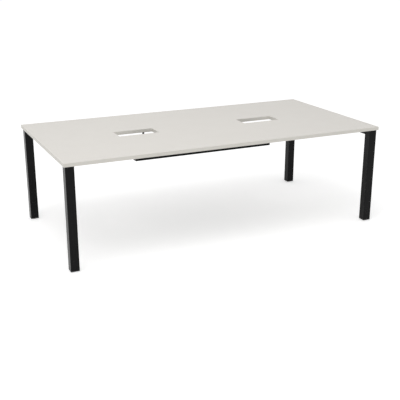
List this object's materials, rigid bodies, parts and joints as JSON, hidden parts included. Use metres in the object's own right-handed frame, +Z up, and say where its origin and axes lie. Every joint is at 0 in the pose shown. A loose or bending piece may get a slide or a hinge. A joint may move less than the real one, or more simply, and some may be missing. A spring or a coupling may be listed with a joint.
{
  "type": "rectangular table",
  "caption": "Rectangular meeting table: off-white top with open cable cut-outs, square black steel legs on levelling feet, and a cable tray hung under the middle.",
  "frame": {"origin": "on the floor under the middle of the top", "axes": "+X along the length of the top, +Z up, front is -Y"},
  "size_m": [2.4, 1.2, 0.74],
  "materials": {
    "melamine_top": "off-white melamine-faced board, satin",
    "edge_plastic": "off-white plastic edging, satin",
    "black_coated_steel": "black powder coat, fine texture",
    "black_cap_plastic": "black moulded plastic",
    "black_pad_plastic": "dark moulded plastic",
    "zinc_steel": "bright zinc plate"
  },
  "bodies": {
    "frame": {"table_top": "melamine_top", "front_edge_band": "edge_plastic", "rear_edge_band": "edge_plastic", "left_edge_band": "edge_plastic", "right_edge_band": "edge_plastic", "left_cutout_lining": "edge_plastic", "right_cutout_lining": "edge_plastic", "front_left_leg": "black_coated_steel", "front_right_leg": "black_coated_steel", "rear_left_leg": "black_coated_steel", "rear_right_leg": "black_coated_steel", "front_left_leg_plate": "black_coated_steel", "front_right_leg_plate": "black_coated_steel", "rear_left_leg_plate": "black_coated_steel", "rear_right_leg_plate": "black_coated_steel", "front_left_beam_plate": "black_coated_steel", "front_right_beam_plate": "black_coated_steel", "rear_left_beam_plate": "black_coated_steel", "rear_right_beam_plate": "black_coated_steel", "front_left_tray_hanger": "black_coated_steel", "front_right_tray_hanger": "black_coated_steel", "rear_left_tray_hanger": "black_coated_steel", "rear_right_tray_hanger": "black_coated_steel", "left_cross_beam": "black_coated_steel", "right_cross_beam": "black_coated_steel", "front_long_beam": "black_coated_steel", "rear_long_beam": "black_coated_steel", "cable_tray": "black_coated_steel", "left_tray_end": "black_coated_steel", "right_tray_end": "black_coated_steel", "front_left_leg_cap": "black_cap_plastic", "front_right_leg_cap": "black_cap_plastic", "rear_left_leg_cap": "black_cap_plastic", "rear_right_leg_cap": "black_cap_plastic", "beam_bolts": "zinc_steel", "beam_nuts": "zinc_steel", "cross_beam_screws": "zinc_steel", "long_beam_screws": "zinc_steel", "hanger_screws": "zinc_steel", "hanger_bolts": "zinc_steel", "hanger_nuts": "zinc_steel", "foot_nuts": "zinc_steel"},
    "front_left_pad": {"front_left_foot_pad": "black_pad_plastic"},
    "front_right_pad": {"front_right_foot_pad": "black_pad_plastic"},
    "rear_left_pad": {"rear_left_foot_pad": "black_pad_plastic"},
    "rear_right_pad": {"rear_right_foot_pad": "black_pad_plastic"},
    "front_left_stem": {"front_left_foot_stem": "zinc_steel"},
    "front_right_stem": {"front_right_foot_stem": "zinc_steel"},
    "rear_left_stem": {"rear_left_foot_stem": "zinc_steel"},
    "rear_right_stem": {"rear_right_foot_stem": "zinc_steel"}
  },
  "joints": [
    {"name": "front_left_foot_height", "type": "slide", "parent": "frame", "child": "front_left_pad", "axis": [0, 0, -1], "range_m": [0, 0.015]},
    {"name": "front_left_stem_turn", "type": "hinge", "parent": "front_left_pad", "child": "front_left_stem", "pos_m": [-1.16, -0.56, 0], "axis": [0, 0, -1], "range_deg": [0, 3600]},
    {"name": "front_right_foot_height", "type": "slide", "parent": "frame", "child": "front_right_pad", "axis": [0, 0, -1], "range_m": [0, 0.015]},
    {"name": "front_right_stem_turn", "type": "hinge", "parent": "front_right_pad", "child": "front_right_stem", "pos_m": [1.16, -0.56, 0], "axis": [0, 0, -1], "range_deg": [0, 3600]},
    {"name": "rear_left_foot_height", "type": "slide", "parent": "frame", "child": "rear_left_pad", "axis": [0, 0, -1], "range_m": [0, 0.015]},
    {"name": "rear_left_stem_turn", "type": "hinge", "parent": "rear_left_pad", "child": "rear_left_stem", "pos_m": [-1.16, 0.56, 0], "axis": [0, 0, -1], "range_deg": [0, 3600]},
    {"name": "rear_right_foot_height", "type": "slide", "parent": "frame", "child": "rear_right_pad", "axis": [0, 0, -1], "range_m": [0, 0.015]},
    {"name": "rear_right_stem_turn", "type": "hinge", "parent": "rear_right_pad", "child": "rear_right_stem", "pos_m": [1.16, 0.56, 0], "axis": [0, 0, -1], "range_deg": [0, 3600]}
  ],
  "couplings": [
    {"joint": "front_left_stem_turn", "follows": "front_left_foot_height", "rad_per_m": 4188.8},
    {"joint": "front_right_stem_turn", "follows": "front_right_foot_height", "rad_per_m": 4188.8},
    {"joint": "rear_left_stem_turn", "follows": "rear_left_foot_height", "rad_per_m": 4188.8},
    {"joint": "rear_right_stem_turn", "follows": "rear_right_foot_height", "rad_per_m": 4188.8}
  ]
}
